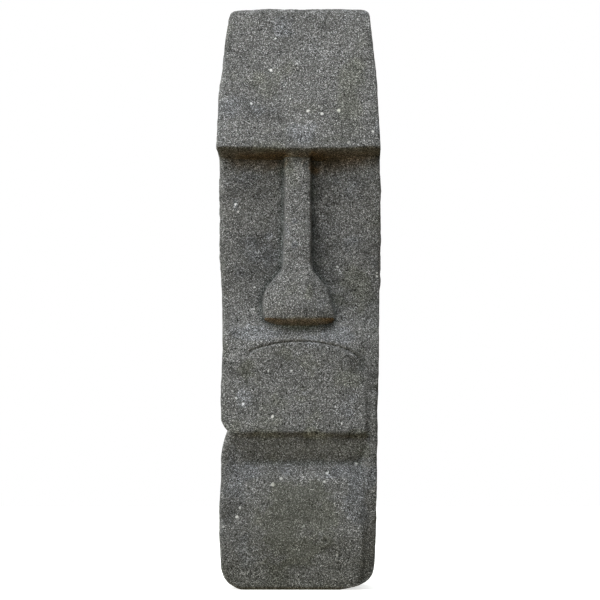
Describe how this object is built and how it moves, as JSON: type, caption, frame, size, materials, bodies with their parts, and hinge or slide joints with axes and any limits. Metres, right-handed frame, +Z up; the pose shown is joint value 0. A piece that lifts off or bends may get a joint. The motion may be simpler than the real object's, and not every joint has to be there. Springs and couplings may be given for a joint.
{
  "type": "moai stone head statue",
  "caption": "Tall moai head carved from one block of grey andesite, with jutting brow, long flared nose, downturned mouth and cut-in neck. It stands on its flat underside.",
  "frame": {"origin": "on the ground, under the middle of the block", "axes": "the face looks along -Y, +X is on the viewer's right, +Z is up"},
  "size_m": [0.2832, 0.2276, 1],
  "materials": {
    "andesite": "coarse sawn and hand-dressed grey andesite, unpolished"
  },
  "bodies": {
    "root": {"moai_head": "andesite"}
  },
  "joints": []
}
